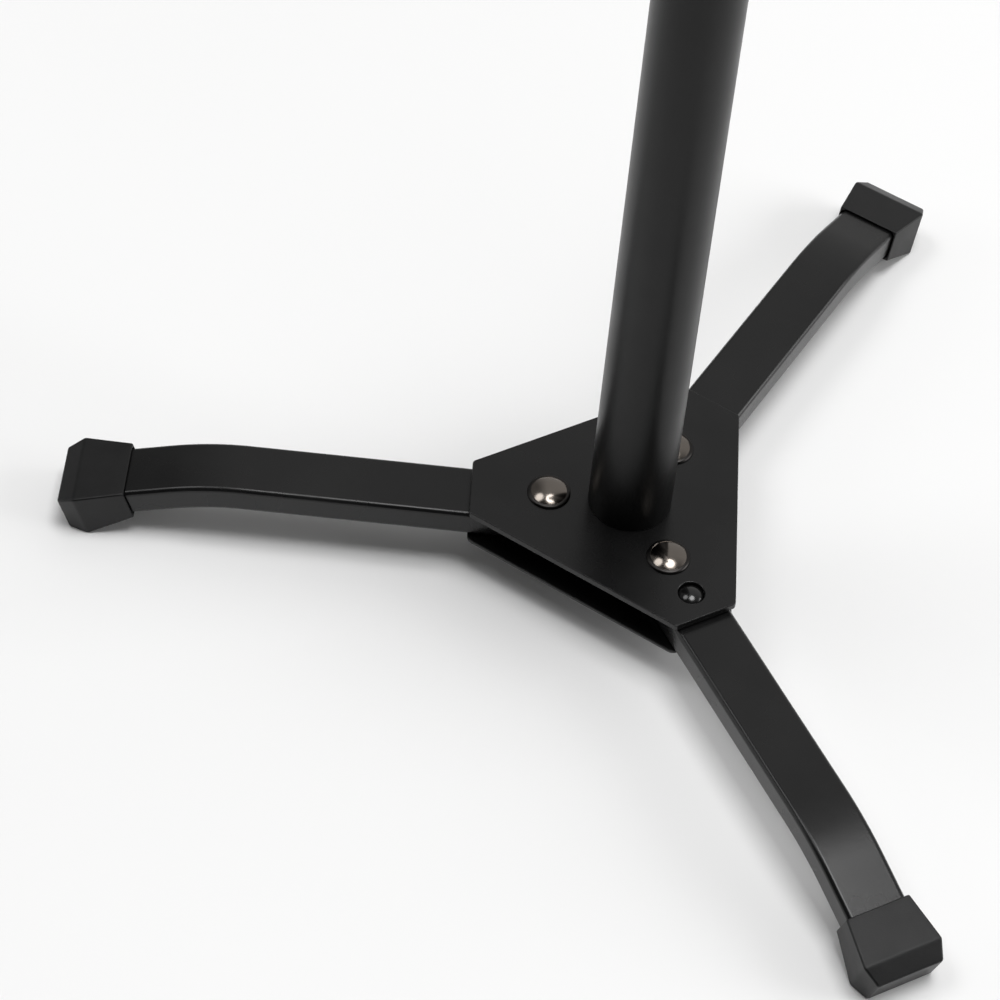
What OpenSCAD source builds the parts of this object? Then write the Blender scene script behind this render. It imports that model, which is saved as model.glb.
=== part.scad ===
// Folding trumpet stand: a tube post with a soft bell peg, on two plates that hold three bent legs.
// The origin is on the floor, on the post's axis. +Z is up. All sizes are in millimetres.

/* [Base plates] */
// Height of the top plate's upper face above the floor
plate_top_z = 27.2; // [26:0.1:32]
// Distance from the post's axis to the plate edge that a leg leaves by
plate_reach = 48.4; // [44:0.1:56]
// Length of that short plate edge
corner_edge = 20.2; // [18:0.1:26]
// Thickness of the top plate, which carries the post
top_plate_t = 2.3; // [1.8:0.1:3]
// Thickness of the bottom plate
bottom_plate_t = 1.2; // [1:0.1:2]
// Corner rounding of the top plate
top_corner_r = 1.4; // [0.8:0.1:3]
// Corner rounding of the bottom plate
bottom_corner_r = 3; // [1:0.1:4]

/* [Legs] */
// Width of the rectangular leg tube
leg_w = 19; // [16:0.1:20]
// Height of the rectangular leg tube
leg_h = 9.5; // [8:0.1:10]
// Wall of the leg tube
leg_wall = 1.2; // [1:0.1:1.6]
// Distance from the post's axis to each pivot rivet
pivot_reach = 24.65; // [23:0.05:27]
// Length of tube behind the pivot, towards the post
leg_tail = 9.5; // [7:0.1:10]
// Distance from the pivot to the start of the bend
bend_start = 92; // [70:0.5:110]
// Centreline radius of the bend
bend_radius = 80; // [60:1:100]
// Downward angle of the leg's end
bend_angle = 16.4; // [14:0.1:17]
// Straight tube between the bend and the mouth of the foot
bare_end = 13.25; // [8:0.25:16]
// Direction of the left leg, turned 1.7 degrees in its rivet's play
left_leg_dir = 178.3; // [177:0.1:180]
// Direction of the front leg, which holds the lock button
front_leg_dir = -60.5; // [-61:0.1:-60]
// Direction of the back leg, which doesn't fold
back_leg_dir = 60.7; // [60:0.1:61]

/* [Feet] */
// Wall of the rubber foot at its mouth
foot_wall = 0.9; // [0.8:0.1:1.2]
// Depth of the socket that the leg's end fills
foot_socket = 15; // [10:0.5:16]
// Distance from the mouth to the foot's widest section
foot_flare_len = 15.2; // [14:0.1:17]
// Length of the whole foot
foot_len = 21.2; // [20:0.1:24]
// Half width of the widest section
foot_flare_hw = 12.75; // [12:0.05:13]
// Half width of the end face
foot_end_hw = 10.75; // [10:0.05:12]
// Height of the widest section above the tube's centreline
foot_flare_up = 7.55; // [6.5:0.05:8]
// Height of the end face above the tube's centreline
foot_end_up = 5.75; // [5:0.05:6.5]

/* [Pivot rivets] */
// Diameter of the rivet's shank
rivet_d = 6; // [5:0.1:6.4]
// Diameter of the domed head
rivet_head_d = 13.2; // [12:0.1:14]
// Height of the domed head
rivet_head_h = 2.3; // [1.8:0.1:3.2]

/* [Lock button] */
// Distance from the post's axis to the button
button_reach = 39.25; // [38:0.05:41]
// Diameter of the button
button_d = 7.4; // [6:0.1:7.6]
// Diameter of the hole in the top plate that the button locks into
button_hole_d = 8.1; // [8:0.1:9]

/* [Post] */
// Outer diameter of the post tube
post_d = 25.4; // [22:0.1:28.6]
// Wall of the post tube
post_wall = 1.5; // [1.2:0.1:2]
// Height of the post's top end above the floor
post_top_z = 265; // [220:1:320]

/* [Bell peg] */
// Diameter of the peg at its foot
peg_base_d = 41; // [38:0.5:46]
// Diameter of the peg at its tip
peg_tip_d = 17; // [15:0.5:20]
// Length of the peg
peg_len = 102; // [90:1:120]
// Wall of the hollow peg
peg_wall = 2.4; // [2:0.1:3]
// Thickness of the velour sleeve on the peg
sleeve_t = 0.9; // [0.6:0.1:1.2]

/* [Hidden] */
$fn = 64;

// Pivot directions: the rivets stand at exact thirds, and the legs turn a little in their play.
LEFT = 180;
FRONT = -60;
BACK = 60;

// Heights of the stack, from the top plate down
upper_gap = 0.8;
lower_gap = 0.4;
leg_top_z = plate_top_z - top_plate_t - upper_gap;
leg_mid_z = leg_top_z - leg_h / 2;
leg_low_z = leg_top_z - leg_h;
plate_gap_low_z = leg_low_z - lower_gap;
plate_gap_high_z = plate_top_z - top_plate_t;
base_low_z = plate_gap_low_z - bottom_plate_t;

// Running clearances
turn_play = 0.05;
hole_play = 0.1;

// Centre bolt and the parts on it
bolt_r = 4;
bolt_head_af = 13;
bolt_head_h = 5.3;
bolt_washer_t = 1.6;
bolt_washer_r = 8;
hub_spacer_r = 9;
plug_h = 14;

// Formed lower end of a pivot rivet, and the washers on it
rivet_tail_low_r = 3.8;
rivet_tail_r = 5;
rivet_tail_h = 1.8;
friction_washer_r = 7.5;
nylon_washer_r = 8;

// Blind rivet in the back leg: its shank, its head below the plate, and its bulb inside the leg
fixing_rivet_r = 2;
fixing_head_r = 4;
fixing_head_h = 1.4;
fixing_bulb_r = 3.2;
fixing_bulb_h = 1.8;

// The foot's own frame: X runs along the tube's end from the mouth, Z is across it.
bend_drop = bend_radius * (1 - cos(bend_angle));
mouth_x = bend_start + bend_radius * sin(bend_angle) + bare_end * cos(bend_angle);
mouth_z = leg_mid_z - bend_drop - bare_end * sin(bend_angle);

// Height across the tube's end at which the foot meets the floor
function floor_at(run) = (run * sin(bend_angle) - mouth_z) / cos(bend_angle);

// Half width of the truncated triangle's short edges, and its six corners
half_edge = corner_edge / 2;
function plate_corner(i) =
    let (turn = LEFT + 120 * floor(i / 2), side = (i % 2 == 0) ? -1 : 1)
    [
        plate_reach * cos(turn) - side * half_edge * sin(turn),
        plate_reach * sin(turn) + side * half_edge * cos(turn)
    ];
CORNERS = [for (i = [0 : 5]) plate_corner(i)];

function unit(v) = v / norm(v);
// Unit vectors from corner i along its two edges, and the half angle between them
function edge_on(i) = unit(CORNERS[(i + 1) % 6] - CORNERS[i]);
function edge_back(i) = unit(CORNERS[(i + 5) % 6] - CORNERS[i]);
function half_angle(i) = acos(edge_on(i) * edge_back(i)) / 2;

// Plate outline with round corners: straight edges between tangent points, and a disc in each corner
module plate_outline(corner_r) {
    polygon([
        for (i = [0 : 5], step = [0, 1])
            CORNERS[i] + (step == 0 ? edge_back(i) : edge_on(i)) * corner_r / tan(half_angle(i))
    ]);
    for (i = [0 : 5])
        translate(CORNERS[i] + unit(edge_on(i) + edge_back(i)) * corner_r / sin(half_angle(i)))
            circle(r = corner_r);
}

// Puts its children at a pivot, with X outwards, at the floor's height
module at_pivot(third, dir = undef) {
    rotate([0, 0, third])
        translate([pivot_reach, 0, 0])
            rotate([0, 0, is_undef(dir) ? 0 : dir - third])
                children();
}

// A round hole or peg from z0 to z1
module upright(r, z0, z1) {
    translate([0, 0, z0])
        cylinder(r = r, h = z1 - z0);
}

// ---------- plates ----------

module top_plate() {
    color("#2a2a2b")
    difference() {
        translate([0, 0, plate_gap_high_z])
            linear_extrude(top_plate_t)
                plate_outline(top_corner_r);
        for (third = [LEFT, FRONT, BACK])
            at_pivot(third)
                upright(rivet_d / 2 + hole_play / 2, plate_gap_high_z - 1, plate_top_z + 1);
        at_pivot(FRONT, front_leg_dir)
            translate([button_reach - pivot_reach, 0, 0])
                upright(button_hole_d / 2, plate_gap_high_z - 1, plate_top_z + 1);
        upright(bolt_r + hole_play, plate_gap_high_z - 1, plate_top_z + 1);
    }
}

module bottom_plate() {
    color("#262627")
    difference() {
        translate([0, 0, base_low_z])
            linear_extrude(bottom_plate_t)
                plate_outline(bottom_corner_r);
        for (third = [LEFT, FRONT, BACK])
            at_pivot(third)
                upright(rivet_d / 2 + hole_play / 2, base_low_z - 1, plate_gap_low_z + 1);
        at_pivot(BACK, back_leg_dir)
            translate([button_reach - pivot_reach, 0, 0])
                upright(fixing_rivet_r, base_low_z - 1, plate_gap_low_z + 1);
        upright(bolt_r + hole_play, base_low_z - 1, plate_gap_low_z + 1);
    }
}

// ---------- centre ----------

module hub_spacer() {
    color("#9a9ca0")
    difference() {
        upright(hub_spacer_r, plate_gap_low_z, plate_gap_high_z);
        upright(bolt_r + hole_play, plate_gap_low_z - 1, plate_gap_high_z + 1);
    }
}

module centre_bolt() {
    color("#8f9296") {
        upright(bolt_r, base_low_z - bolt_washer_t, plate_top_z + plug_h);
        translate([0, 0, base_low_z - bolt_washer_t - bolt_head_h])
            cylinder(r = bolt_head_af / 2 / cos(30), h = bolt_head_h, $fn = 6);
    }
}

module bolt_washer() {
    color("#a5a7aa")
    difference() {
        upright(bolt_washer_r, base_low_z - bolt_washer_t, base_low_z);
        upright(bolt_r + hole_play, base_low_z - bolt_washer_t - 1, base_low_z + 1);
    }
}

module post_tube() {
    color("#2b2b2c")
    difference() {
        upright(post_d / 2, plate_top_z, post_top_z);
        upright(post_d / 2 - post_wall, plate_top_z - 1, post_top_z + 1);
    }
}

module post_threaded_plug() {
    color("#8f9296")
    difference() {
        upright(post_d / 2 - post_wall, plate_top_z, plate_top_z + plug_h);
        upright(bolt_r, plate_top_z - 1, plate_top_z + plug_h + 1);
    }
}

// ---------- legs ----------

// A point in the leg's side view: run along the bent end from the foot's mouth, up from its centreline
function along_end(run, up) = [
    mouth_x + run * cos(bend_angle) + up * sin(bend_angle),
    mouth_z - run * sin(bend_angle) + up * cos(bend_angle)
];

// Side view of the leg: X outwards, Y up. The bend's two arcs are cut out of a mitred corner.
module leg_profile(inset, over) {
    half = leg_h / 2 - inset;
    outer_r = bend_radius + half;
    miter = outer_r * tan(bend_angle / 2);
    difference() {
        polygon([
            [-leg_tail - over, leg_mid_z - half],
            [-leg_tail - over, leg_mid_z + half],
            [bend_start + miter, leg_mid_z + half],
            along_end(foot_socket + over, half),
            along_end(foot_socket + over, -half),
            along_end(-bare_end, -half),
            [bend_start, leg_mid_z - half]
        ]);
        translate([bend_start, leg_mid_z - bend_radius])
            circle(r = bend_radius - half, $fn = 360);
        difference() {
            polygon([
                [bend_start, leg_mid_z + half],
                [bend_start + miter, leg_mid_z + half + 1],
                [bend_start + miter + 1, leg_mid_z + half + 1],
                along_end(-bare_end, half)
            ]);
            translate([bend_start, leg_mid_z - bend_radius])
                circle(r = outer_r, $fn = 360);
        }
    }
}

// The bent bar from its tail to the socket's floor, as a solid of the given inset
module leg_bar(inset, over) {
    rotate([90, 0, 0])
        linear_extrude(leg_w - 2 * inset, center = true)
            leg_profile(inset, over);
}

module in_foot_frame() {
    translate([mouth_x, 0, mouth_z])
        rotate([0, bend_angle, 0])
            children();
}

module leg_tube() {
    difference() {
        leg_bar(0, 0);
        leg_bar(leg_wall, 1);
        upright(rivet_d / 2 + turn_play, leg_low_z - 1, leg_top_z + 1);
    }
}

module left_leg_tube() {
    color("#2a2a2b")
        at_pivot(LEFT, left_leg_dir)
            leg_tube();
}

module front_leg_tube() {
    color("#2a2a2b")
        at_pivot(FRONT, front_leg_dir)
            difference() {
                leg_tube();
                translate([button_reach - pivot_reach, 0, 0])
                    upright(button_d / 2 + hole_play, leg_mid_z, leg_top_z + 1);
            }
}

module back_leg_tube() {
    color("#2a2a2b")
        at_pivot(BACK, back_leg_dir)
            difference() {
                leg_tube();
                translate([button_reach - pivot_reach, 0, 0])
                    upright(fixing_rivet_r, leg_low_z - 1, leg_mid_z);
            }
}

// ---------- feet ----------

// Rubber foot: a side profile crossed with a plan profile, with a socket for the tube
module foot() {
    mouth_up = leg_h / 2 + foot_wall;
    mouth_hw = leg_w / 2 + foot_wall;
    in_foot_frame()
        difference() {
            intersection() {
                rotate([90, 0, 0])
                    linear_extrude(4 * foot_flare_hw, center = true)
                        polygon([
                            [0, -mouth_up],
                            [0, mouth_up],
                            [foot_flare_len, foot_flare_up],
                            [foot_len, foot_end_up],
                            [foot_len, floor_at(foot_len)],
                            [foot_flare_len, floor_at(foot_flare_len)]
                        ]);
                linear_extrude(6 * foot_flare_up, center = true)
                    polygon([
                        [0, -mouth_hw],
                        [foot_flare_len, -foot_flare_hw],
                        [foot_len, -foot_end_hw],
                        [foot_len, foot_end_hw],
                        [foot_flare_len, foot_flare_hw],
                        [0, mouth_hw]
                    ]);
            }
            translate([-1, -leg_w / 2 - turn_play, -leg_h / 2 - turn_play])
                cube([foot_socket + 1, leg_w + 2 * turn_play, leg_h + 2 * turn_play]);
        }
}

module left_foot() {
    color("#1f1f20")
        at_pivot(LEFT, left_leg_dir)
            foot();
}

module front_foot() {
    color("#1f1f20")
        at_pivot(FRONT, front_leg_dir)
            foot();
}

module back_foot() {
    color("#1f1f20")
        at_pivot(BACK, back_leg_dir)
            foot();
}

// ---------- rivets and washers ----------

module pivot_rivet() {
    // Radius of the sphere that the domed head is cut from
    dome_r = (pow(rivet_head_d / 2, 2) + pow(rivet_head_h, 2)) / (2 * rivet_head_h);
    color("#b9b3aa") {
        upright(rivet_d / 2, base_low_z, plate_top_z);
        intersection() {
            translate([0, 0, plate_top_z + rivet_head_h - dome_r])
                sphere(r = dome_r);
            upright(rivet_head_d, plate_top_z, plate_top_z + rivet_head_h + 1);
        }
        translate([0, 0, base_low_z - rivet_tail_h])
            cylinder(r1 = rivet_tail_low_r, r2 = rivet_tail_r, h = rivet_tail_h);
    }
}

module left_pivot_rivet() {
    at_pivot(LEFT)
        pivot_rivet();
}

module front_pivot_rivet() {
    at_pivot(FRONT)
        pivot_rivet();
}

module back_pivot_rivet() {
    at_pivot(BACK)
        pivot_rivet();
}

// Spring washer above a leg: it gives the pivot its friction
module friction_washer() {
    color("#b5b7ba")
    difference() {
        upright(friction_washer_r, leg_top_z + turn_play, plate_gap_high_z);
        upright(rivet_d / 2 + hole_play, leg_top_z - 1, plate_gap_high_z + 1);
    }
}

module left_friction_washer() {
    at_pivot(LEFT)
        friction_washer();
}

module front_friction_washer() {
    at_pivot(FRONT)
        friction_washer();
}

module back_friction_washer() {
    at_pivot(BACK)
        friction_washer();
}

// Thin plastic washer below a leg
module nylon_washer() {
    color("#e8e6df")
    difference() {
        upright(nylon_washer_r, plate_gap_low_z, leg_low_z - turn_play);
        upright(rivet_d / 2 + hole_play, plate_gap_low_z - 1, leg_low_z + 1);
    }
}

module left_nylon_washer() {
    at_pivot(LEFT)
        nylon_washer();
}

module front_nylon_washer() {
    at_pivot(FRONT)
        nylon_washer();
}

module back_nylon_washer() {
    at_pivot(BACK)
        nylon_washer();
}

// Blind rivet that keeps the back leg from turning
module back_leg_fixing_rivet() {
    color("#a5a7aa")
        at_pivot(BACK, back_leg_dir)
            translate([button_reach - pivot_reach, 0, 0]) {
                upright(fixing_head_r, base_low_z - fixing_head_h, base_low_z);
                upright(fixing_rivet_r, base_low_z - 0.1, leg_low_z + leg_wall + 0.1);
                upright(fixing_bulb_r, leg_low_z + leg_wall, leg_low_z + leg_wall + fixing_bulb_h);
            }
}

// ---------- lock ----------

button_top_z = plate_top_z + 0.3;
button_flange_z = leg_top_z - leg_wall;
button_flange_t = 1;
button_flange_w = 1.2;

module lock_button() {
    // The domed end is a spherical cap of this height
    cap_h = 1.3;
    cap_r = (pow(button_d / 2, 2) + pow(cap_h, 2)) / (2 * cap_h);
    color("#141415")
        at_pivot(FRONT, front_leg_dir)
            translate([button_reach - pivot_reach, 0, 0]) {
                upright(button_d / 2, button_flange_z - button_flange_t, button_top_z - cap_h);
                upright(button_d / 2 + button_flange_w, button_flange_z - button_flange_t, button_flange_z);
                intersection() {
                    translate([0, 0, button_top_z - cap_r])
                        sphere(r = cap_r);
                    upright(button_d, button_top_z - cap_h, button_top_z + 1);
                }
            }
}

// Folded strip spring inside the front leg: it lies on the tube's floor and presses the button up
spring_t = 0.5;
spring_w = 7;
spring_len = 26;
spring_flat = 12;

module button_spring() {
    low_z = leg_low_z + leg_wall;
    high_z = button_flange_z - button_flange_t;
    color("#a9a59b")
        at_pivot(FRONT, front_leg_dir)
            translate([button_reach - pivot_reach - spring_flat / 2, 0, 0])
                rotate([90, 0, 0])
                    linear_extrude(spring_w, center = true)
                        polygon([
                            [0, high_z - spring_t],
                            [0, high_z],
                            [spring_flat, high_z],
                            [spring_len, low_z + 2 * spring_t],
                            [spring_len, low_z],
                            [0, low_z],
                            [0, low_z + spring_t],
                            [spring_len - 3 * spring_t, low_z + spring_t],
                            [spring_flat, high_z - spring_t]
                        ]);
}

// ---------- bell peg ----------

peg_flange_t = 3;
peg_base_z = post_top_z + peg_flange_t;
peg_tip_z = peg_base_z + peg_len;
ring_h = 4;
ring_w = 2.5;
peg_floor_t = 3;
peg_screw_r = 3;
peg_screw_head_r = 5.5;
peg_screw_head_h = 4;
// How far the plug reaches into the post, its overhang on the post's end, and the depth of its screw hole
peg_plug_depth = 22;
peg_plug_overhang = 4;
peg_screw_hole_depth = 14;

// Radius of the peg's outer wall at a height above its foot
function peg_r(up) = peg_base_d / 2 + (peg_tip_d - peg_base_d) / 2 * up / peg_len;

module peg_plug() {
    color("#232324")
    difference() {
        union() {
            upright(post_d / 2 - post_wall, post_top_z - peg_plug_depth, post_top_z);
            upright(post_d / 2 + peg_plug_overhang, post_top_z, peg_base_z);
        }
        upright(peg_screw_r, post_top_z - peg_screw_hole_depth, peg_base_z + 1);
    }
}

module bell_rest_ring() {
    color("#1b1b1c")
    difference() {
        upright(peg_base_d / 2 + ring_w, peg_base_z, peg_base_z + ring_h);
        upright(peg_base_d / 2, peg_base_z - 1, peg_base_z + ring_h + 1);
    }
}

// Hollow taper with a floor for the screw and an open tip
module bell_peg() {
    inner_low_r = peg_r(peg_floor_t) - peg_wall;
    inner_high_r = peg_r(peg_len) - peg_wall;
    color("#262627")
    difference() {
        translate([0, 0, peg_base_z])
            union() {
                cylinder(r = peg_base_d / 2, h = ring_h + 1);
                translate([0, 0, ring_h + 1])
                    cylinder(r1 = peg_r(ring_h + 1), r2 = peg_r(peg_len), h = peg_len - ring_h - 1);
            }
        translate([0, 0, peg_base_z + peg_floor_t])
            cylinder(r1 = inner_low_r, r2 = inner_high_r, h = peg_len - peg_floor_t + 0.01);
        upright(peg_screw_r + hole_play, peg_base_z - 1, peg_base_z + peg_floor_t + 1);
    }
}

module peg_screw() {
    color("#9a9ca0") {
        upright(peg_screw_r, post_top_z - peg_screw_hole_depth + 1, peg_base_z + peg_floor_t);
        upright(peg_screw_head_r, peg_base_z + peg_floor_t, peg_base_z + peg_floor_t + peg_screw_head_h);
    }
}

// Velour sleeve over the taper
module peg_sleeve() {
    low = ring_h + 3;
    high = peg_len - 6;
    color("#1a1a1c")
    difference() {
        translate([0, 0, peg_base_z + low])
            cylinder(r1 = peg_r(low) + sleeve_t, r2 = peg_r(high) + sleeve_t, h = high - low);
        translate([0, 0, peg_base_z + low])
            cylinder(r1 = peg_r(low), r2 = peg_r(high), h = high - low);
    }
}

module peg_tip_cap() {
    stem_r = peg_r(peg_len) - peg_wall - 0.2;
    stem_h = 6;
    tip_h = 6;
    dome_r = (pow(peg_tip_d / 2, 2) + pow(tip_h, 2)) / (2 * tip_h);
    color("#1b1b1c") {
        upright(stem_r, peg_tip_z - stem_h, peg_tip_z);
        intersection() {
            translate([0, 0, peg_tip_z + tip_h - dome_r])
                sphere(r = dome_r);
            upright(peg_tip_d, peg_tip_z, peg_tip_z + tip_h + 1);
        }
    }
}

top_plate();
bottom_plate();
hub_spacer();
centre_bolt();
bolt_washer();
post_tube();
post_threaded_plug();
left_leg_tube();
front_leg_tube();
back_leg_tube();
left_foot();
front_foot();
back_foot();
left_pivot_rivet();
front_pivot_rivet();
back_pivot_rivet();
left_friction_washer();
front_friction_washer();
back_friction_washer();
left_nylon_washer();
front_nylon_washer();
back_nylon_washer();
back_leg_fixing_rivet();
lock_button();
button_spring();
peg_plug();
bell_rest_ring();
bell_peg();
peg_screw();
peg_sleeve();
peg_tip_cap();
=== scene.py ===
import math

import bmesh
import bpy
from mathutils import Matrix, Vector


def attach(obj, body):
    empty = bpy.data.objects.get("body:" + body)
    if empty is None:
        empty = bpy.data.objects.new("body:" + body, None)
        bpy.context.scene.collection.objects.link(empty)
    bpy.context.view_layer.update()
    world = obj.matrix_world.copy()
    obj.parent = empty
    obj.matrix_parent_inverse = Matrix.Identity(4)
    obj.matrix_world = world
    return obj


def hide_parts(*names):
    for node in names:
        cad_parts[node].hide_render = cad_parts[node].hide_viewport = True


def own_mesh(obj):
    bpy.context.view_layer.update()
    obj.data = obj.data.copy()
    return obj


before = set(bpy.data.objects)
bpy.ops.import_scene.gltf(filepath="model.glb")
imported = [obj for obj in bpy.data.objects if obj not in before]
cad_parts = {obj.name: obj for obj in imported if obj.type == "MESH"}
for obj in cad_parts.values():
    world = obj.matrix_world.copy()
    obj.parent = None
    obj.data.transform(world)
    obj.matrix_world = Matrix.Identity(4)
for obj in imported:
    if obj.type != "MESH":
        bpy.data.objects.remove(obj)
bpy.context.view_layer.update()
MM = 0.001

# ---------------------------------------------------------------- materials


class Nodes:
    """A node material under construction, with short calls for the nodes that repeat."""

    def __init__(self, name):
        self.mat = bpy.data.materials.new(name)
        self.mat.use_nodes = True
        self.tree = self.mat.node_tree
        self.shader = self.tree.nodes["Principled BSDF"]
        self.coords = self.tree.nodes.new("ShaderNodeTexCoord").outputs["Object"]

    def node(self, kind, **values):
        made = self.tree.nodes.new(kind)
        for key, value in values.items():
            if key in made.inputs:
                made.inputs[key].default_value = value
            else:
                setattr(made, key, value)
        return made

    def link(self, a, b):
        self.tree.links.new(a, b)

    def set(self, **values):
        for key, value in values.items():
            self.shader.inputs[key.replace("_", " ")].default_value = value

    def noise(self, scale, detail=2.0, rough=0.5, stretch=None):
        made = self.node("ShaderNodeTexNoise", Scale=scale, Detail=detail)
        made.inputs["Roughness"].default_value = rough
        source = self.coords
        if stretch:
            mapping = self.node("ShaderNodeMapping")
            mapping.inputs["Scale"].default_value = stretch
            self.link(source, mapping.inputs["Vector"])
            source = mapping.outputs["Vector"]
        self.link(source, made.inputs["Vector"])
        return made.outputs["Fac"]

    def ramp(self, fac, stops):
        made = self.node("ShaderNodeValToRGB")
        ramp = made.color_ramp
        while len(ramp.elements) < len(stops):
            ramp.elements.new(0.5)
        for element, (place, colour) in zip(ramp.elements, stops):
            element.position = place
            if not isinstance(colour, tuple):
                colour = (colour, colour, colour)
            element.color = (*colour, 1.0)
        self.link(fac, made.inputs["Fac"])
        return made.outputs["Color"]

    def span(self, fac, low, high, out_low, out_high):
        made = self.node("ShaderNodeMapRange")
        for key, value in (("From Min", low), ("From Max", high),
                           ("To Min", out_low), ("To Max", out_high)):
            made.inputs[key].default_value = value
        self.link(fac, made.inputs["Value"])
        return made.outputs["Result"]

    def bump(self, height, distance, strength=1.0, under=None):
        made = self.node("ShaderNodeBump", Distance=distance, Strength=strength)
        self.link(height, made.inputs["Height"])
        if under is not None:
            self.link(under, made.inputs["Normal"])
        return made.outputs["Normal"]

    def colour(self, socket):
        self.link(socket, self.shader.inputs["Base Color"])

    def roughness(self, socket):
        self.link(socket, self.shader.inputs["Roughness"])

    def normal(self, socket):
        self.link(socket, self.shader.inputs["Normal"])


def powder_coat(name, low=0.0035, high=0.006, rough=(0.23, 0.3), grain=0.00001, gloss=0.36):
    """Satin black powder coat: a fine orange peel, with faint clouding of tone and gloss."""
    m = Nodes(name)
    clouds = m.noise(28, detail=4, rough=0.6)
    m.colour(m.ramp(clouds, [(0.3, (low, low, low * 1.02)), (0.7, (high, high, high * 1.02))]))
    m.roughness(m.span(m.noise(60, detail=3), 0.3, 0.7, *rough))
    peel = m.noise(1500, detail=2, rough=0.55)
    grit = m.noise(5200, detail=1)
    m.normal(m.bump(grit, grain * 0.4, under=m.bump(peel, grain)))
    m.set(IOR=1.5, Specular_IOR_Level=gloss)
    return m.mat


def rubber(name):
    """Matte moulded rubber with a fine grain."""
    m = Nodes(name)
    clouds = m.noise(45, detail=4, rough=0.65)
    m.colour(m.ramp(clouds, [(0.3, (0.003, 0.003, 0.0032)), (0.7, (0.006, 0.006, 0.0063))]))
    m.roughness(m.span(m.noise(120, detail=3), 0.3, 0.7, 0.36, 0.44))
    grain = m.noise(2600, detail=3, rough=0.6)
    m.normal(m.bump(grain, 0.00004, 0.8))
    m.set(IOR=1.5, Specular_IOR_Level=0.29)
    return m.mat


def plated(name, tint, rough=(0.07, 0.16), streaks=False):
    """Bright plated metal with faint handling marks."""
    m = Nodes(name)
    clouds = m.noise(70, detail=4, rough=0.6)
    dark = tuple(c * 0.86 for c in tint)
    m.colour(m.ramp(clouds, [(0.3, dark), (0.75, tint)]))
    m.roughness(m.span(m.noise(240, detail=4), 0.3, 0.75, *rough))
    if streaks:
        wear = m.noise(900, detail=2, stretch=(1.0, 1.0, 0.05))
        m.normal(m.bump(wear, 0.00001, 0.5))
    else:
        m.normal(m.bump(m.noise(1400, detail=2), 0.000004, 0.5))
    m.set(Metallic=1.0)
    return m.mat


def moulded(name, low, high, rough=(0.3, 0.4), grain=0.00001):
    """Moulded plastic."""
    m = Nodes(name)
    clouds = m.noise(55, detail=3)
    m.colour(m.ramp(clouds, [(0.3, low), (0.7, high)]))
    m.roughness(m.span(m.noise(150, detail=3), 0.3, 0.7, *rough))
    m.normal(m.bump(m.noise(2200, detail=2), grain, 0.6))
    m.set(IOR=1.5)
    return m.mat


def velour(name):
    """Black velour: short nap in two directions, with a soft sheen."""
    m = Nodes(name)
    nap = m.noise(2400, detail=3, rough=0.7, stretch=(1.0, 1.0, 0.45))
    crush = m.noise(60, detail=4, rough=0.6)
    m.colour(m.ramp(crush, [(0.25, (0.008, 0.008, 0.009)), (0.75, (0.02, 0.02, 0.022))]))
    m.roughness(m.span(nap, 0.3, 0.7, 0.85, 1.0))
    m.normal(m.bump(nap, 0.00025, 0.9, under=m.bump(crush, 0.0006, 0.5)))
    m.set(Sheen_Weight=0.55, Sheen_Roughness=0.4, Specular_IOR_Level=0.2)
    m.set(Sheen_Tint=(0.5, 0.5, 0.55, 1.0))
    return m.mat


NICKEL = (0.205, 0.182, 0.162)
# The rivet rims' dark tint is painted shade where the dome meets the plate
NICKEL_RIM_PAINTED_SHADE = (0.035, 0.033, 0.032)
ZINC = (0.62, 0.63, 0.65)
STEEL = (0.5, 0.48, 0.45)

# The post's coat is a little darker and duller than the base's
POST_COAT = powder_coat("black_powder_coat_post", 0.002, 0.0035,
                        rough=(0.33, 0.38), grain=0.000006, gloss=0.23)
MATERIALS = {
    "black_powder_coat": powder_coat("black_powder_coat"),
    "black_rubber": rubber("black_rubber"),
    "polished_nickel": plated("polished_nickel", NICKEL, rough=(0.13, 0.2)),
    # Dark, dull nickel for the rivet rims: painted shade
    "nickel_rim_painted_shade": plated("nickel_rim_painted_shade", NICKEL_RIM_PAINTED_SHADE, rough=(0.3, 0.4)),
    "zinc_steel": plated("zinc_steel", ZINC, rough=(0.28, 0.42), streaks=True),
    "spring_steel": plated("spring_steel", STEEL, rough=(0.2, 0.32), streaks=True),
    "white_nylon": moulded("white_nylon", (0.62, 0.61, 0.57), (0.7, 0.69, 0.65),
                           rough=(0.4, 0.5)),
    "black_gloss_button": moulded("black_gloss_button", (0.004,) * 3, (0.006,) * 3,
                                  rough=(0.15, 0.21), grain=0.000002),
    "black_moulded_plastic": moulded("black_moulded_plastic", (0.012,) * 3, (0.018,) * 3,
                                     rough=(0.34, 0.46), grain=0.00002),
    "black_velour": velour("black_velour"),
}

# ---------------------------------------------------------------- shapes in millimetres

# The same measures as part.scad has
PLATE_TOP = 27.2
BOTTOM_PLATE_LOW = 13.0
PLATE_REACH = 48.4
CORNER_EDGE = 20.2
TOP_PLATE_T = 2.3
BOTTOM_PLATE_T = 1.2
LEG_W = 19.0
LEG_H = 9.5
LEG_WALL = 1.2
LEG_CORNER = 1.6
LEG_TOP = 24.1
PIVOT_REACH = 24.65
LEG_TAIL = 9.5
BEND_START = 92.0
BEND_RADIUS = 80.0
BEND_ANGLE = 16.4
BARE_END = 13.25
FOOT_WALL = 0.9
FOOT_SOCKET = 15.0
FOOT_FLARE = 15.2
FOOT_LEN = 21.2
FLARE_HALF = 12.75
END_HALF = 10.75
FLARE_UP = 7.55
END_UP = 5.75
BUTTON_REACH = 39.25
RIVET_R = 3.0
BOLT_R = 4.0
FIXING_R = 2.0
POST_R = 12.7
POST_WALL = 1.5
POST_TOP = 265.0
PEG_BASE = 268.0
PEG_LEN = 102.0
PEG_R = 20.5
PEG_TIP_R = 8.5

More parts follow.
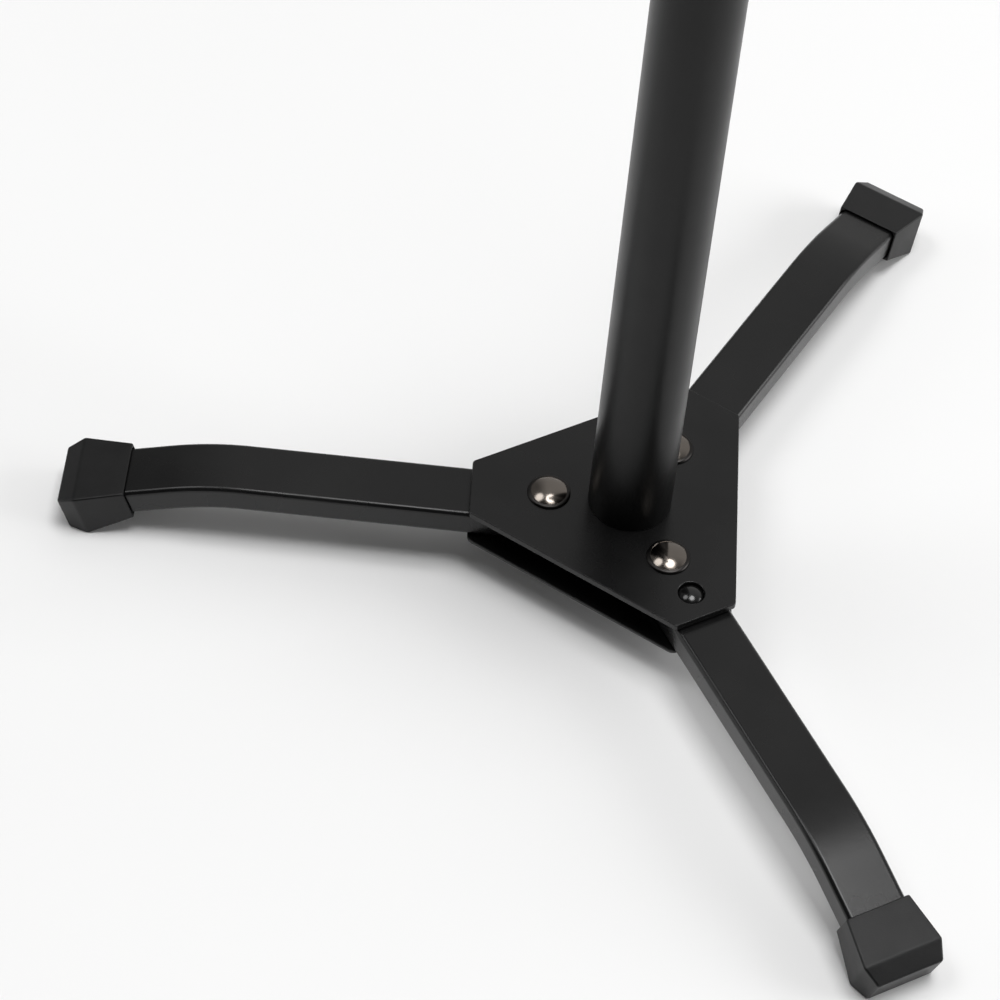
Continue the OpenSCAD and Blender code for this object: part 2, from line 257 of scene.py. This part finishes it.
# Play of a pin in its hole, and the gap between a leg and its washers
PLAY = 0.05
WASHER_HOLE_R = 3.1
BOLT_HOLE_R = BOLT_R + 0.1

# Each leg's third of the turn and the direction it really points in, in degrees
LEGS = {"left": (180.0, 178.3), "front": (-60.0, -60.5), "back": (60.0, 60.7)}
LEG_BODY = {"left": "left_leg", "front": "front_leg", "back": "base"}
ROUND = 72


def cosd(angle):
    return math.cos(math.radians(angle))


def sind(angle):
    return math.sin(math.radians(angle))


def at_pivot(side, out=0.0, straight=False):
    """The frame of a pivot, with X outwards along the leg, shifted out along it."""
    third, direction = LEGS[side]
    turn = 0.0 if straight else direction - third
    return (Matrix.Rotation(math.radians(third), 4, "Z") @ Matrix.Translation((PIVOT_REACH, 0, 0))
            @ Matrix.Rotation(math.radians(turn), 4, "Z") @ Matrix.Translation((out, 0, 0)))


def arc(cx, cy, r, start, stop, steps):
    """Points of an arc, both ends included."""
    return [(cx + r * cosd(start + (stop - start) * i / steps),
             cy + r * sind(start + (stop - start) * i / steps)) for i in range(steps + 1)]


def softened(points, radius, steps=4):
    """A closed outline with every corner rounded. A corner may give its own radius third."""
    result = []
    count = len(points)
    for i, point in enumerate(points):
        here = Vector(point[:2])
        back = Vector(points[i - 1][:2]) - here
        on = Vector(points[(i + 1) % count][:2]) - here
        r = point[2] if len(point) > 2 else radius
        half = back.angle(on) / 2
        if r <= 0 or half > math.radians(89):
            result.append(tuple(here))
            continue
        reach = min(r / math.tan(half), 0.45 * back.length, 0.45 * on.length)
        r = reach * math.tan(half)
        centre = here + (back.normalized() + on.normalized()).normalized() * (r / math.sin(half))
        a = here + back.normalized() * reach - centre
        b = here + on.normalized() * reach - centre
        turn = a.angle_signed(b)
        for k in range(steps + 1):
            spoke = a.copy()
            spoke.rotate(Matrix.Rotation(-turn * k / steps, 2))
            result.append(tuple(centre + spoke))
    return result


def stitch(bm, first, second):
    """Faces between two closed rings of the same length."""
    count = len(first)
    for i in range(count):
        j = (i + 1) % count
        corners = []
        for v in (first[i], first[j], second[j], second[i]):
            if v not in corners:
                corners.append(v)
        if len(corners) > 2:
            bm.faces.new(corners)


def lathe(profile, segments=ROUND, closed=True):
    """A closed profile of (radius, height) turned round Z."""
    bm = bmesh.new()
    rings = []
    for r, z in profile:
        if r < 1e-6:
            rings.append([bm.verts.new((0, 0, z))] * segments)
        else:
            rings.append([bm.verts.new((r * math.cos(math.tau * i / segments),
                                        r * math.sin(math.tau * i / segments), z))
                          for i in range(segments)])
    last = len(rings) if closed else len(rings) - 1
    for i in range(last):
        a, b = rings[i], rings[(i + 1) % len(rings)]
        if a[0] is a[1] and b[0] is b[1]:
            continue
        stitch(bm, a, b)
    return bm


def cap_profile(radius, rise, top, steps=20):
    """A domed cap's profile, from its edge to the axis."""
    sphere = (radius ** 2 + rise ** 2) / (2 * rise)
    span = math.degrees(math.asin(radius / sphere))
    return [(sphere * sind(a), top - sphere + sphere * cosd(a))
            for a in (span * (1 - k / steps) for k in range(steps + 1))]


def ring_shape(inner, outer, low, high, edge=0.15):
    """A washer or short tube with eased edges."""
    return lathe(softened([(inner, low), (outer, low), (outer, high), (inner, high)], edge, 3))


def plate_shape(loops, low, high, edge, steps=4):
    """A flat plate. Each loop is a function that gives its points at an inset into the metal."""
    bm = bmesh.new()
    levels = [(edge * (1 - sind(90 * k / steps)), low + edge * (1 - cosd(90 * k / steps)))
              for k in range(steps + 1)]
    levels += [(inset, high - (z - low)) for inset, z in reversed(levels)]
    caps = ([], [])
    for loop in loops:
        rings = [[bm.verts.new((x, y, z)) for x, y in loop(inset)] for inset, z in levels]
        for first, second in zip(rings, rings[1:]):
            stitch(bm, first, second)
        for cap, ring in zip(caps, (rings[0], rings[-1])):
            cap += [bm.edges.get((ring[i - 1], ring[i])) for i in range(len(ring))]
    for cap in caps:
        bmesh.ops.triangle_fill(bm, edges=cap, use_beauty=True)
    return bm


def plate_loop(corner_r):
    """The truncated triangle's outline with round corners, as a function of the inset."""
    corners = []
    for third in (180, -60, 60):
        for side in (-1, 1):
            half = side * CORNER_EDGE / 2
            corners.append(Vector((PLATE_REACH * cosd(third) - half * sind(third),
                                   PLATE_REACH * sind(third) + half * cosd(third))))

    def loop(inset):
        points = []
        for i, here in enumerate(corners):
            back = (corners[i - 1] - here).normalized()
            on = (corners[(i + 1) % 6] - here).normalized()
            half = back.angle(on) / 2
            centre = here + (back + on).normalized() * (corner_r / math.sin(half))
            out = -(back + on).normalized()
            spread = math.pi / 2 - half
            for k in range(9):
                spoke = out * (corner_r - inset)
                spoke.rotate(Matrix.Rotation(spread * (k / 4 - 1), 2))
                points.append(tuple(centre + spoke))
        return points
    return loop


def hole_loop(place, radius, segments=48):
    """A round hole, as a function of the inset."""
    x, y = place

    def loop(inset):
        return [(x + (radius + inset) * math.cos(math.tau * i / segments),
                 y + (radius + inset) * math.sin(math.tau * i / segments)) for i in range(segments)]
    return loop


def leg_section(inset):
    """The tube's section, as (across the height, across the width)."""
    tall, wide, r = LEG_H / 2 - inset, LEG_W / 2 - inset, LEG_CORNER - inset
    points = []
    for sx, sy, start in ((1, 1, 0), (-1, 1, 90), (-1, -1, 180), (1, -1, 270)):
        points += arc(sx * (tall - r), sy * (wide - r), r, start, start + 90, 8)
    return points


def leg_path():
    """Stations along the leg's centreline, as (x, z, slope in degrees)."""
    middle = LEG_TOP - LEG_H / 2
    stations = [(x, middle, 0.0)
                for x in (-LEG_TAIL, -LEG_TAIL + 0.3, 20, 50, 80, BEND_START - 0.4)]
    for k in range(33):
        a = BEND_ANGLE * k / 32
        stations.append((BEND_START + BEND_RADIUS * sind(a),
                         middle - BEND_RADIUS * (1 - cosd(a)), a))
    x, z, a = stations[-1]
    for run in (0.4, 4, BARE_END, BARE_END + FOOT_SOCKET - 0.3, BARE_END + FOOT_SOCKET):
        stations.append((x + run * cosd(a), z - run * sind(a), a))
    return stations


def leg_shape():
    """The bent rectangular tube, hollow and open at both ends."""
    bm = bmesh.new()
    stations = leg_path()
    skins = []
    for inset in (0.0, LEG_WALL):
        rings = []
        for n, (x, z, a) in enumerate(stations):
            ease = 0.25 if n in (0, len(stations) - 1) else 0.0
            section = leg_section(inset + (ease if inset == 0 else -ease))
            rings.append([bm.verts.new((x + up * sind(a), across, z + up * cosd(a)))
                          for up, across in section])
        for first, second in zip(rings, rings[1:]):
            stitch(bm, first, second)
        skins.append(rings)
    stitch(bm, skins[0][0], skins[1][0])
    stitch(bm, skins[0][-1], skins[1][-1])
    return bm


# The foot's frame is at its mouth on the leg's centreline, with X out along the sloping end
MOUTH_X = BEND_START + BEND_RADIUS * sind(BEND_ANGLE) + BARE_END * cosd(BEND_ANGLE)
MOUTH_Z = (LEG_TOP - LEG_H / 2 - BEND_RADIUS * (1 - cosd(BEND_ANGLE))
           - BARE_END * sind(BEND_ANGLE))
FOOT_FRAME = (Matrix.Translation((MOUTH_X, 0, MOUTH_Z))
              @ Matrix.Rotation(math.radians(BEND_ANGLE), 4, "Y"))
FOOT_EDGE_R = 0.65
MOUTH_EASE = 0.3
END_EASE = 0.6
LEAD_IN_LEN = 1.4
LEAD_IN_GAP = 0.58


def floor_at(run):
    """The floor's height in the foot's frame."""
    return (run * sind(BEND_ANGLE) - MOUTH_Z) / cosd(BEND_ANGLE)


def foot_ring(up, low, half, r):
    """A rounded rectangle across the foot, with as many points as leg_section has."""
    points = []
    for y, x, start in ((up - r, half - r, 0), (low + r, half - r, 90),
                        (low + r, r - half, 180), (up - r, r - half, 270)):
        points += arc(y, x, r, start, start + 90, 8)
    return points


def kinked(run, first, middle, last, soft=0.6):
    """Straight from first to middle and on to last, with the kink at the flare rounded off."""
    slope_in = (middle - first) / FOOT_FLARE
    slope_out = (last - middle) / (FOOT_LEN - FOOT_FLARE)
    x = run - FOOT_FLARE
    if x <= -soft:
        return middle + slope_in * x
    if x >= soft:
        return middle + slope_out * x
    return middle + slope_in * x + (slope_out - slope_in) * (x + soft) ** 2 / (4 * soft)


def foot_shape():
    """The foot's faceted rubber body with eased edges, hollow where the leg's end goes in."""
    bm = bmesh.new()
    mouth_up, mouth_half = LEG_H / 2 + FOOT_WALL, LEG_W / 2 + FOOT_WALL
    stations = [(MOUTH_EASE * (1 - sind(a)), MOUTH_EASE * (1 - cosd(a))) for a in (90, 60, 30, 0)]
    around_flare = [FOOT_FLARE + 0.3 * k for k in range(-3, 4)]
    stations += [(run, 0.0) for run in (2, 8, 13, *around_flare, 18)]
    stations += [(FOOT_LEN - END_EASE * (1 - sind(a)), END_EASE * (1 - cosd(a)))
                 for a in (0, 22, 45, 68, 90)]
    rings = []
    for run, inset in stations:
        up = kinked(run, mouth_up, FLARE_UP, END_UP) - inset
        half = kinked(run, mouth_half, FLARE_HALF, END_HALF) - inset
        low = kinked(run, -mouth_up, floor_at(FOOT_FLARE), floor_at(FOOT_LEN))
        low = max(low, floor_at(run)) + inset
        rings.append([bm.verts.new((run, across, high))
                      for high, across in foot_ring(up, low, half, FOOT_EDGE_R)])
    socket = [[bm.verts.new((run, across, high)) for high, across in leg_section(inset)]
              for run, inset in ((0, -LEAD_IN_GAP), (LEAD_IN_LEN, -PLAY), (FOOT_SOCKET, -PLAY))]
    for first, second in zip(rings, rings[1:]):
        stitch(bm, first, second)
    stitch(bm, rings[0], socket[0])
    for first, second in zip(socket, socket[1:]):
        stitch(bm, first, second)
    bm.faces.new(rings[-1])
    bm.faces.new(socket[-1])
    return bm


# ---------------------------------------------------------------- pieces


def mesh_object(name, bm, matrix=None):
    """An object from the bmesh, moved by the matrix, still in millimetres."""
    bmesh.ops.recalc_face_normals(bm, faces=bm.faces)
    if matrix is not None:
        bm.transform(matrix)
    mesh = bpy.data.meshes.new(name)
    bm.to_mesh(mesh)
    bm.free()
    made = bpy.data.objects.new(name, mesh)
    bpy.context.scene.collection.objects.link(made)
    return made


def cut(target, *tools):
    """Subtracts the tools from the target for good."""
    for tool in tools:
        modifier = target.modifiers.new("cut", "BOOLEAN")
        modifier.operation = "DIFFERENCE"
        modifier.solver = "EXACT"
        modifier.object = tool
    graph = bpy.context.evaluated_depsgraph_get()
    mesh = bpy.data.meshes.new_from_object(target.evaluated_get(graph))
    target.modifiers.clear()
    target.data = mesh
    for tool in tools:
        bpy.data.objects.remove(tool)


def place(made, body, slot, nodes, sharp=32.0):
    """Gives a piece its finish and its CAD body, and lets it stand for its CAD nodes."""
    mesh = made.data
    mesh.transform(Matrix.Scale(MM, 4))
    mesh.materials.clear()
    mesh.materials.append(MATERIALS[slot])
    mesh.polygons.foreach_set("use_smooth", [True] * len(mesh.polygons))
    mesh.set_sharp_from_angle(angle=math.radians(sharp))
    weighted = made.modifiers.new("weighted", "WEIGHTED_NORMAL")
    weighted.keep_sharp = True
    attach(made, body)
    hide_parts(*nodes)
    return made


def piece(name, bm, body, slot, nodes, matrix=None, tools=(), sharp=32.0):
    """A finished piece: its shape, less the tools, with its finish, body and CAD nodes."""
    made = mesh_object(name, bm, matrix)
    if tools:
        cut(made, *tools)
    return place(made, body, slot, nodes, sharp)


def strip_shape(profile, width):
    """A side profile, in X and Z, carried across its width."""
    bm = bmesh.new()
    near, far = ([bm.verts.new((x, y, z)) for x, z in profile] for y in (-width / 2, width / 2))
    bm.faces.new(near)
    bm.faces.new(reversed(far))
    for i in range(len(profile)):
        bm.faces.new((near[i - 1], near[i], far[i], far[i - 1]))
    return bm


def hole_tool(radius, low, high, matrix):
    """An upright cylinder that cuts a hole."""
    profile = [(0, low), (radius, low), (radius, high), (0, high)]
    return mesh_object("tool", lathe(profile, 48, closed=False), matrix)


def plan_point(matrix):
    """Where the frame's origin is, seen from above."""
    return tuple(matrix.translation[:2])


# Plates
SHEET_EDGE = 0.3
button_frame = at_pivot("front", BUTTON_REACH - PIVOT_REACH)
fixing_frame = at_pivot("back", BUTTON_REACH - PIVOT_REACH)
under_top_plate = PLATE_TOP - TOP_PLATE_T
over_bottom_plate = BOTTOM_PLATE_LOW + BOTTOM_PLATE_T
rivet_holes = [hole_loop(plan_point(at_pivot(side, straight=True)), RIVET_R + PLAY)
               for side in LEGS]
bolt_hole = hole_loop((0, 0), BOLT_HOLE_R)
button_hole = hole_loop(plan_point(button_frame), 4.05)
fixing_hole = hole_loop(plan_point(fixing_frame), FIXING_R)
piece("top_plate_sheet",
      plate_shape([plate_loop(1.4), bolt_hole, button_hole, *rivet_holes],
                  under_top_plate, PLATE_TOP, SHEET_EDGE),
      "base", "black_powder_coat", ["top_plate"])
piece("bottom_plate_sheet",
      plate_shape([plate_loop(3.0), bolt_hole, fixing_hole, *rivet_holes],
                  BOTTOM_PLATE_LOW, over_bottom_plate, SHEET_EDGE),
      "base", "black_powder_coat", ["bottom_plate"])

# Legs and feet. The holes are cut from below the tube, from its middle, and to above it
below_leg, inside_leg, above_leg = 10, 19, 30
for side in LEGS:
    frame_here = at_pivot(side)
    tools = [hole_tool(RIVET_R + PLAY, below_leg, above_leg, frame_here)]
    if side == "front":
        tools.append(hole_tool(3.8, inside_leg, above_leg, button_frame))
    if side == "back":
        tools.append(hole_tool(FIXING_R, below_leg, inside_leg, fixing_frame))
    piece(f"{side}_leg_bent_tube", leg_shape(), LEG_BODY[side], "black_powder_coat",
          [f"{side}_leg_tube"], frame_here, tools, sharp=50.0)
    piece(f"{side}_rubber_foot", foot_shape(), LEG_BODY[side], "black_rubber",
          [f"{side}_foot"], frame_here @ FOOT_FRAME, sharp=50.0)

# Rivets and washers at the three pivots. The rim runs from the plate up to the dome's foot
RIM_R, DOME_R, DOME_H, DOME_RISE = 6.6, 5.45, 2.3, 1.45
TAIL_LOW, TAIL_END_R, TAIL_R = 11.2, 3.8, 5.0
rim = [(RIM_R - 0.3, 0), (RIM_R, 0.12), (RIM_R, 0.3), (RIM_R - 0.2, 0.62), (RIM_R - 0.5, 0.8),
       (DOME_R + 0.25, 0.86), (DOME_R + 0.05, 0.9)]
rivet_profile = [(0, TAIL_LOW), (TAIL_END_R, TAIL_LOW), (TAIL_R, BOTTOM_PLATE_LOW),
                 (RIVET_R, BOTTOM_PLATE_LOW), (RIVET_R, PLATE_TOP)]
rivet_profile += [(r, PLATE_TOP + up) for r, up in rim]
rivet_profile += cap_profile(DOME_R, DOME_RISE, PLATE_TOP + DOME_H, 16)
friction_r, nylon_r = 7.5, 8.0
for side in LEGS:
    frame_here = at_pivot(side, straight=True)
    rivet = piece(f"{side}_pivot_rivet_domed", lathe(rivet_profile, closed=False), "base",
                  "polished_nickel", [f"{side}_pivot_rivet"], frame_here, sharp=34.0)
    # The rim's faces get a dull, dark copy of the nickel: painted shade where the dome's foot meets
    # the plate
    rivet.data.materials.append(MATERIALS["nickel_rim_painted_shade"])
    pivot = frame_here.translation * MM
    for face in rivet.data.polygons:
        outwards = (face.center.xy - pivot.xy).length
        if outwards > (DOME_R + 0.02) * MM and face.center.z > (PLATE_TOP - 0.01) * MM:
            face.material_index = 1
    piece(f"{side}_friction_ring",
          ring_shape(WASHER_HOLE_R, friction_r, LEG_TOP + PLAY, under_top_plate),
          "base", "zinc_steel", [f"{side}_friction_washer"], frame_here)
    piece(f"{side}_nylon_ring",
          ring_shape(WASHER_HOLE_R, nylon_r, over_bottom_plate, LEG_TOP - LEG_H - PLAY, 0.1),
          "base", "white_nylon", [f"{side}_nylon_washer"], frame_here)

# Fixing rivet of the back leg: its head is under the bottom plate, its bulb inside the tube
head_low, head_r = 11.6, 4.0
bulb_low, bulb_high, bulb_r = 15.8, 17.6, 3.2
blind_rivet = softened([(head_r, head_low, 0.6), (head_r, BOTTOM_PLATE_LOW),
                        (FIXING_R, BOTTOM_PLATE_LOW, 0), (FIXING_R, bulb_low, 0),
                        (bulb_r, bulb_low), (bulb_r, bulb_high, 0.8)], 0.15, 3)
piece("back_leg_blind_rivet",
      lathe([(0, head_low)] + blind_rivet + [(0, bulb_high)], closed=False),
      "base", "zinc_steel", ["back_leg_fixing_rivet"], fixing_frame)

# Centre: spacer, bolt and washer, and the post with its threaded plug
washer_low = 11.4
piece("hub_spacer_ring", ring_shape(BOLT_HOLE_R, 9.0, over_bottom_plate, under_top_plate, 0.3),
      "base", "zinc_steel", ["hub_spacer"])
piece("bolt_flat_washer", ring_shape(BOLT_HOLE_R, 8.0, washer_low, BOTTOM_PLATE_LOW, 0.3),
      "base", "zinc_steel", ["bolt_washer"])
post = piece("post_tube_wall", ring_shape(POST_R - POST_WALL, POST_R, PLATE_TOP, POST_TOP, 0.3),
             "base", "black_powder_coat", ["post_tube"])
post.data.materials[0] = POST_COAT
piece("post_plug_ring", ring_shape(BOLT_R, POST_R - POST_WALL, PLATE_TOP, PLATE_TOP + 14, 0.4),
      "base", "zinc_steel", ["post_threaded_plug"])
bolt_top, bolt_head_low, across_flats = 41.2, 6.1, 13.0
hex_r = across_flats / 2 / cosd(30)
bolt = lathe([(0, washer_low), (BOLT_R, washer_low), (BOLT_R, bolt_top - 0.8),
              (BOLT_R - 0.6, bolt_top), (0, bolt_top)], 48, closed=False)
head = lathe([(0, bolt_head_low), (hex_r * 0.9, bolt_head_low), (hex_r, bolt_head_low + 0.6),
              (hex_r, washer_low), (0, washer_low)], 6, closed=False)
head_mesh = bpy.data.meshes.new("head")
head.to_mesh(head_mesh)
head.free()
bolt.from_mesh(head_mesh)
piece("centre_hex_bolt", bolt, "base", "zinc_steel", ["centre_bolt"])

# Lock button
button_r, button_flange_r, button_cap_h = 3.7, 4.9, 1.3
button_low = 21.9
button_top = PLATE_TOP + 0.3
button = [(0, button_low), (button_flange_r, button_low), (button_flange_r, button_low + 1),
          (button_r, button_low + 1)]
button += cap_profile(button_r, button_cap_h, button_top)
dome = piece("lock_button_domed", lathe(button, closed=False), "lock_button",
             "black_gloss_button", ["lock_button"], button_frame, sharp=40.0)
# The button is rigid, and the real plate pushes it down whole. The fold joint doesn't move it,
# so it is flattened instead, which stands in for that and hides that it would meet the plate.
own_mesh(dome)

# Folded strip spring under the button, which closes up as the button goes down
spring_t, spring_w, spring_len, spring_flat = 0.5, 7.0, 26.0, 12.0
spring_low = LEG_TOP - LEG_H + LEG_WALL
strip = [(0, button_low - spring_t), (0, button_low), (spring_flat, button_low),
         (spring_len, spring_low + 2 * spring_t), (spring_len, spring_low), (0, spring_low),
         (0, spring_low + spring_t), (spring_len - 3 * spring_t, spring_low + spring_t),
         (spring_flat, button_low - spring_t)]
spring = piece("button_strip_spring", strip_shape(strip, spring_w), "front_leg", "spring_steel",
               ["button_spring"], button_frame @ Matrix.Translation((-spring_flat / 2, 0, 0)))
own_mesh(spring)


# Bell peg
def peg_radius(up):
    """The peg's outside radius at a height over its foot."""
    return PEG_R + (PEG_TIP_R - PEG_R) * up / PEG_LEN


plug_low, plug_floor, plug_r, plug_flange_r = 243, 251, 11.2, 16.7
screw_low, screw_seat, screw_top, screw_head_r = 252, 271, 275, 5.5
peg_tip = PEG_BASE + PEG_LEN
post_plug = softened([(plug_r, plug_low, 1.0), (plug_r, POST_TOP, 0), (plug_flange_r, POST_TOP),
                      (plug_flange_r, PEG_BASE), (RIVET_R, PEG_BASE),
                      (RIVET_R, plug_floor, 0)], 0.6, 3)
piece("post_top_plug", lathe([(0, plug_low)] + post_plug + [(0, plug_floor)], closed=False),
      "base", "black_moulded_plastic", ["peg_plug"])
piece("bell_rest_bumper", ring_shape(PEG_R, PEG_R + 2.5, PEG_BASE, PEG_BASE + 4, 1.2), "base",
      "black_rubber", ["bell_rest_ring"])
peg_wall, peg_floor_t, seat_h = 2.4, 3, 5
piece("bell_peg_taper", lathe(softened(
    [(WASHER_HOLE_R, PEG_BASE), (PEG_R, PEG_BASE), (PEG_R, PEG_BASE + seat_h),
     (peg_radius(seat_h), PEG_BASE + seat_h + 0.2), (PEG_TIP_R, peg_tip),
     (PEG_TIP_R - peg_wall, peg_tip), (peg_radius(peg_floor_t) - peg_wall, PEG_BASE + peg_floor_t),
     (WASHER_HOLE_R, PEG_BASE + peg_floor_t)], 0.3, 3)),
    "base", "black_moulded_plastic", ["bell_peg"])
screw = softened([(RIVET_R, screw_low, 0.5), (RIVET_R, screw_seat, 0), (screw_head_r, screw_seat),
                  (screw_head_r, screw_top, 1.4)], 0.2, 4)
piece("peg_pan_screw", lathe([(0, screw_low)] + screw + [(0, screw_top)], closed=False),
      "base", "zinc_steel", ["peg_screw"])

sleeve_low, sleeve_high, velour_t = 7.0, 96.0, 0.9
foot_r, top_r = peg_radius(sleeve_low), peg_radius(sleeve_high)
sleeve = piece("peg_velour_sleeve", lathe(softened(
    [(foot_r, PEG_BASE + sleeve_low), (foot_r + velour_t, PEG_BASE + sleeve_low),
     (top_r + velour_t, PEG_BASE + sleeve_high), (top_r, PEG_BASE + sleeve_high)], 0.4, 3), 96),
    "base", "black_velour", ["peg_sleeve"])

stem_h, stem_r, tip_rise = 6, 5.9, 6.0
tip = [(0, peg_tip - stem_h), (stem_r, peg_tip - stem_h), (stem_r, peg_tip),
       (PEG_TIP_R - 0.3, peg_tip)]
tip += cap_profile(PEG_TIP_R, tip_rise, peg_tip + tip_rise)
piece("peg_tip_dome", lathe(tip, closed=False), "base", "black_moulded_plastic",
      ["peg_tip_cap"], sharp=40.0)

# ---------------------------------------------------------------- floor, light and camera

floor = bpy.data.meshes.new("studio_floor")
half = 14.0
floor.from_pydata([(-half, -half, 0), (half, -half, 0), (half, half, 0), (-half, half, 0)],
                  [], [(0, 1, 2, 3)])
floor_obj = bpy.data.objects.new("studio_floor", floor)
bpy.context.scene.collection.objects.link(floor_obj)
paper = Nodes("pale_floor")
paper.colour(paper.ramp(paper.noise(3, detail=2), [(0.3, 0.86), (0.7, 0.88)]))
paper.set(Roughness=0.9, Specular_IOR_Level=0.1)
floor.materials.append(paper.mat)


def add_lamp(name, data, shining):
    """A lamp object whose light goes the way that shining points."""
    lamp = bpy.data.objects.new(name, data)
    lamp.rotation_mode = "QUATERNION"
    lamp.rotation_quaternion = shining.to_track_quat("-Z", "Y")
    bpy.context.scene.collection.objects.link(lamp)
    return lamp


def softbox(name, location, width, height, power):
    """A rectangular source that faces the stand."""
    data = bpy.data.lights.new(name, "AREA")
    data.energy = power
    data.shape = "RECTANGLE"
    data.size, data.size_y = width, height
    lamp = add_lamp(name, data, Vector((0, 0, 0.1)) - Vector(location))
    lamp.location = location


def overhead(name, towards, angle, strength):
    """A broad soft source far away, seen in the direction given."""
    data = bpy.data.lights.new(name, "SUN")
    data.energy = strength
    data.angle = math.radians(angle)
    add_lamp(name, data, -Vector(towards))


overhead("overhead_right", (0.14, 0.0, 0.99), 28, 1.72)
overhead("overhead_left", (-0.45, 0.1, 0.884), 24, 0.55)
softbox("left_softbox", (-2.2, 0.1, 0.75), 1.2, 1.4, 6)
softbox("right_softbox", (2.1, -0.1, 0.8), 1.3, 1.4, 28)

# The surroundings are bright behind the stand and dark in front of it and at its left
world = bpy.data.worlds.new("studio")
bpy.context.scene.world = world
world.use_nodes = True
tree = world.node_tree
background = tree.nodes["Background"]
coords = tree.nodes.new("ShaderNodeTexCoord").outputs["Generated"]
split = tree.nodes.new("ShaderNodeSeparateXYZ")
tree.links.new(coords, split.inputs["Vector"])
product = tree.nodes.new("ShaderNodeMath")
product.operation = "MULTIPLY"
FRONT_TO_BACK = {"From Min": -0.2, "From Max": 0.5, "To Min": 0.06, "To Max": 0.6}
LEFT_TO_RIGHT = {"From Min": -0.42, "From Max": -0.08, "To Min": 0.35, "To Max": 1.0}
for axis, limits, socket in zip("YX", (FRONT_TO_BACK, LEFT_TO_RIGHT), product.inputs):
    shade = tree.nodes.new("ShaderNodeMapRange")
    tree.links.new(split.outputs[axis], shade.inputs["Value"])
    for key, value in limits.items():
        shade.inputs[key].default_value = value
    tree.links.new(shade.outputs["Result"], socket)
tree.links.new(product.outputs[0], background.inputs["Strength"])
background.inputs["Color"].default_value = (1.0, 0.995, 0.985, 1.0)

# The camera stands as in the photograph: above and in front, turned and rolled a little
YAW, ELEVATION, ROLL = 1.140, 51.053, 5.465
CAMERA_TARGET = Vector((-39.308, -4.456, PLATE_TOP)) * MM
CAMERA_DISTANCE = 1117.78 * MM
ahead = Vector((sind(YAW) * cosd(ELEVATION), cosd(YAW) * cosd(ELEVATION), -sind(ELEVATION)))
level = Vector((cosd(YAW), -sind(YAW), 0))
upright = level.cross(ahead)
right = cosd(ROLL) * level + sind(ROLL) * upright
up = cosd(ROLL) * upright - sind(ROLL) * level
lens = bpy.data.cameras.new("photo_camera")
lens.lens = 132.82
lens.sensor_width = 36.0
camera = bpy.data.objects.new("photo_camera", lens)
camera.matrix_world = (Matrix.Translation(CAMERA_TARGET - ahead * CAMERA_DISTANCE)
                       @ Matrix((right, up, -ahead)).transposed().to_4x4())
bpy.context.scene.collection.objects.link(camera)
bpy.context.scene.camera = camera
bpy.context.scene.view_settings.view_transform = "Standard"
